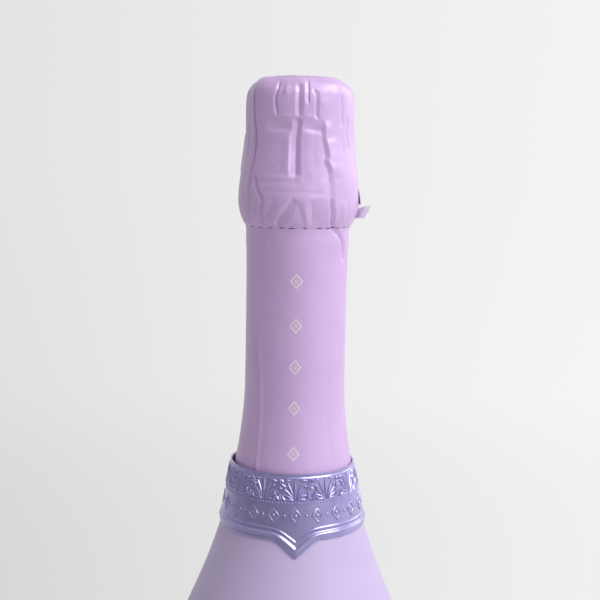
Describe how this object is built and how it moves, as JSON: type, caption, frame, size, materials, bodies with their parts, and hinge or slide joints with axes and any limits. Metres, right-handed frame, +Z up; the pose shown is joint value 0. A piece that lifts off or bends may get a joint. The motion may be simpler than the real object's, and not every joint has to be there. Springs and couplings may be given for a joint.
{
  "type": "champagne bottle",
  "caption": "Sealed sparkling-wine bottle with mushroom cork, wire cage and cap plate under a foil hood, tear strip with pull tab, foil neck skirt and pointed neck collar.",
  "frame": {"origin": "centre of the glass ring that the bottle stands on", "axes": "+Z up along the bottle's axis, -Y towards the front, where the collar has its point, +X to the right, where the pull tab is"},
  "size_m": [0.0884, 0.0884, 0.32],
  "materials": {
    "lacquered_glass": "satin",
    "wine": "gloss",
    "agglomerated_cork": "matte",
    "natural_cork": "matte",
    "lacquered_tinplate": "gloss",
    "cage_wire": "polished",
    "capsule_foil": "satin",
    "pressed_collar_foil": "satin"
  },
  "bodies": {
    "bottle": {"bottle_glass": "lacquered_glass", "wine": "wine", "foil_skirt": "capsule_foil", "tear_strip": "capsule_foil", "neck_collar": "pressed_collar_foil"},
    "cork": {"cork_body": "agglomerated_cork", "cork_disc_upper": "natural_cork", "cork_disc_lower": "natural_cork"},
    "cage": {"cage_frame": "cage_wire", "belt_wire": "cage_wire", "cap_plate": "lacquered_tinplate"},
    "loop": {"twist_loop": "cage_wire"},
    "hood": {"foil_hood": "capsule_foil", "hood_disc": "capsule_foil"},
    "tab": {"pull_tab": "capsule_foil"}
  },
  "joints": [
    {"name": "cork_pull", "type": "slide", "parent": "bottle", "child": "cork", "axis": [0, 0, 1], "range_m": [0, 0.045]},
    {"name": "cage_lift", "type": "slide", "parent": "cork", "child": "cage", "axis": [0, 0, 1], "range_m": [0, 0.045]},
    {"name": "loop_fold", "type": "hinge", "parent": "cage", "child": "loop", "pos_m": [0, 0.0157, 0.2843], "axis": [-1, 0, 0], "range_deg": [0, 85]},
    {"name": "hood_lift", "type": "slide", "parent": "cage", "child": "hood", "axis": [0, 0, 1], "range_m": [0, 0.045], "deforming": ["foil_hood"]},
    {"name": "tab_peel", "type": "hinge", "parent": "bottle", "child": "tab", "pos_m": [0.01674, 0.00295, 0.28038], "axis": [0.3274, 0.0577, 0.9431], "range_deg": [-10, 100]}
  ]
}
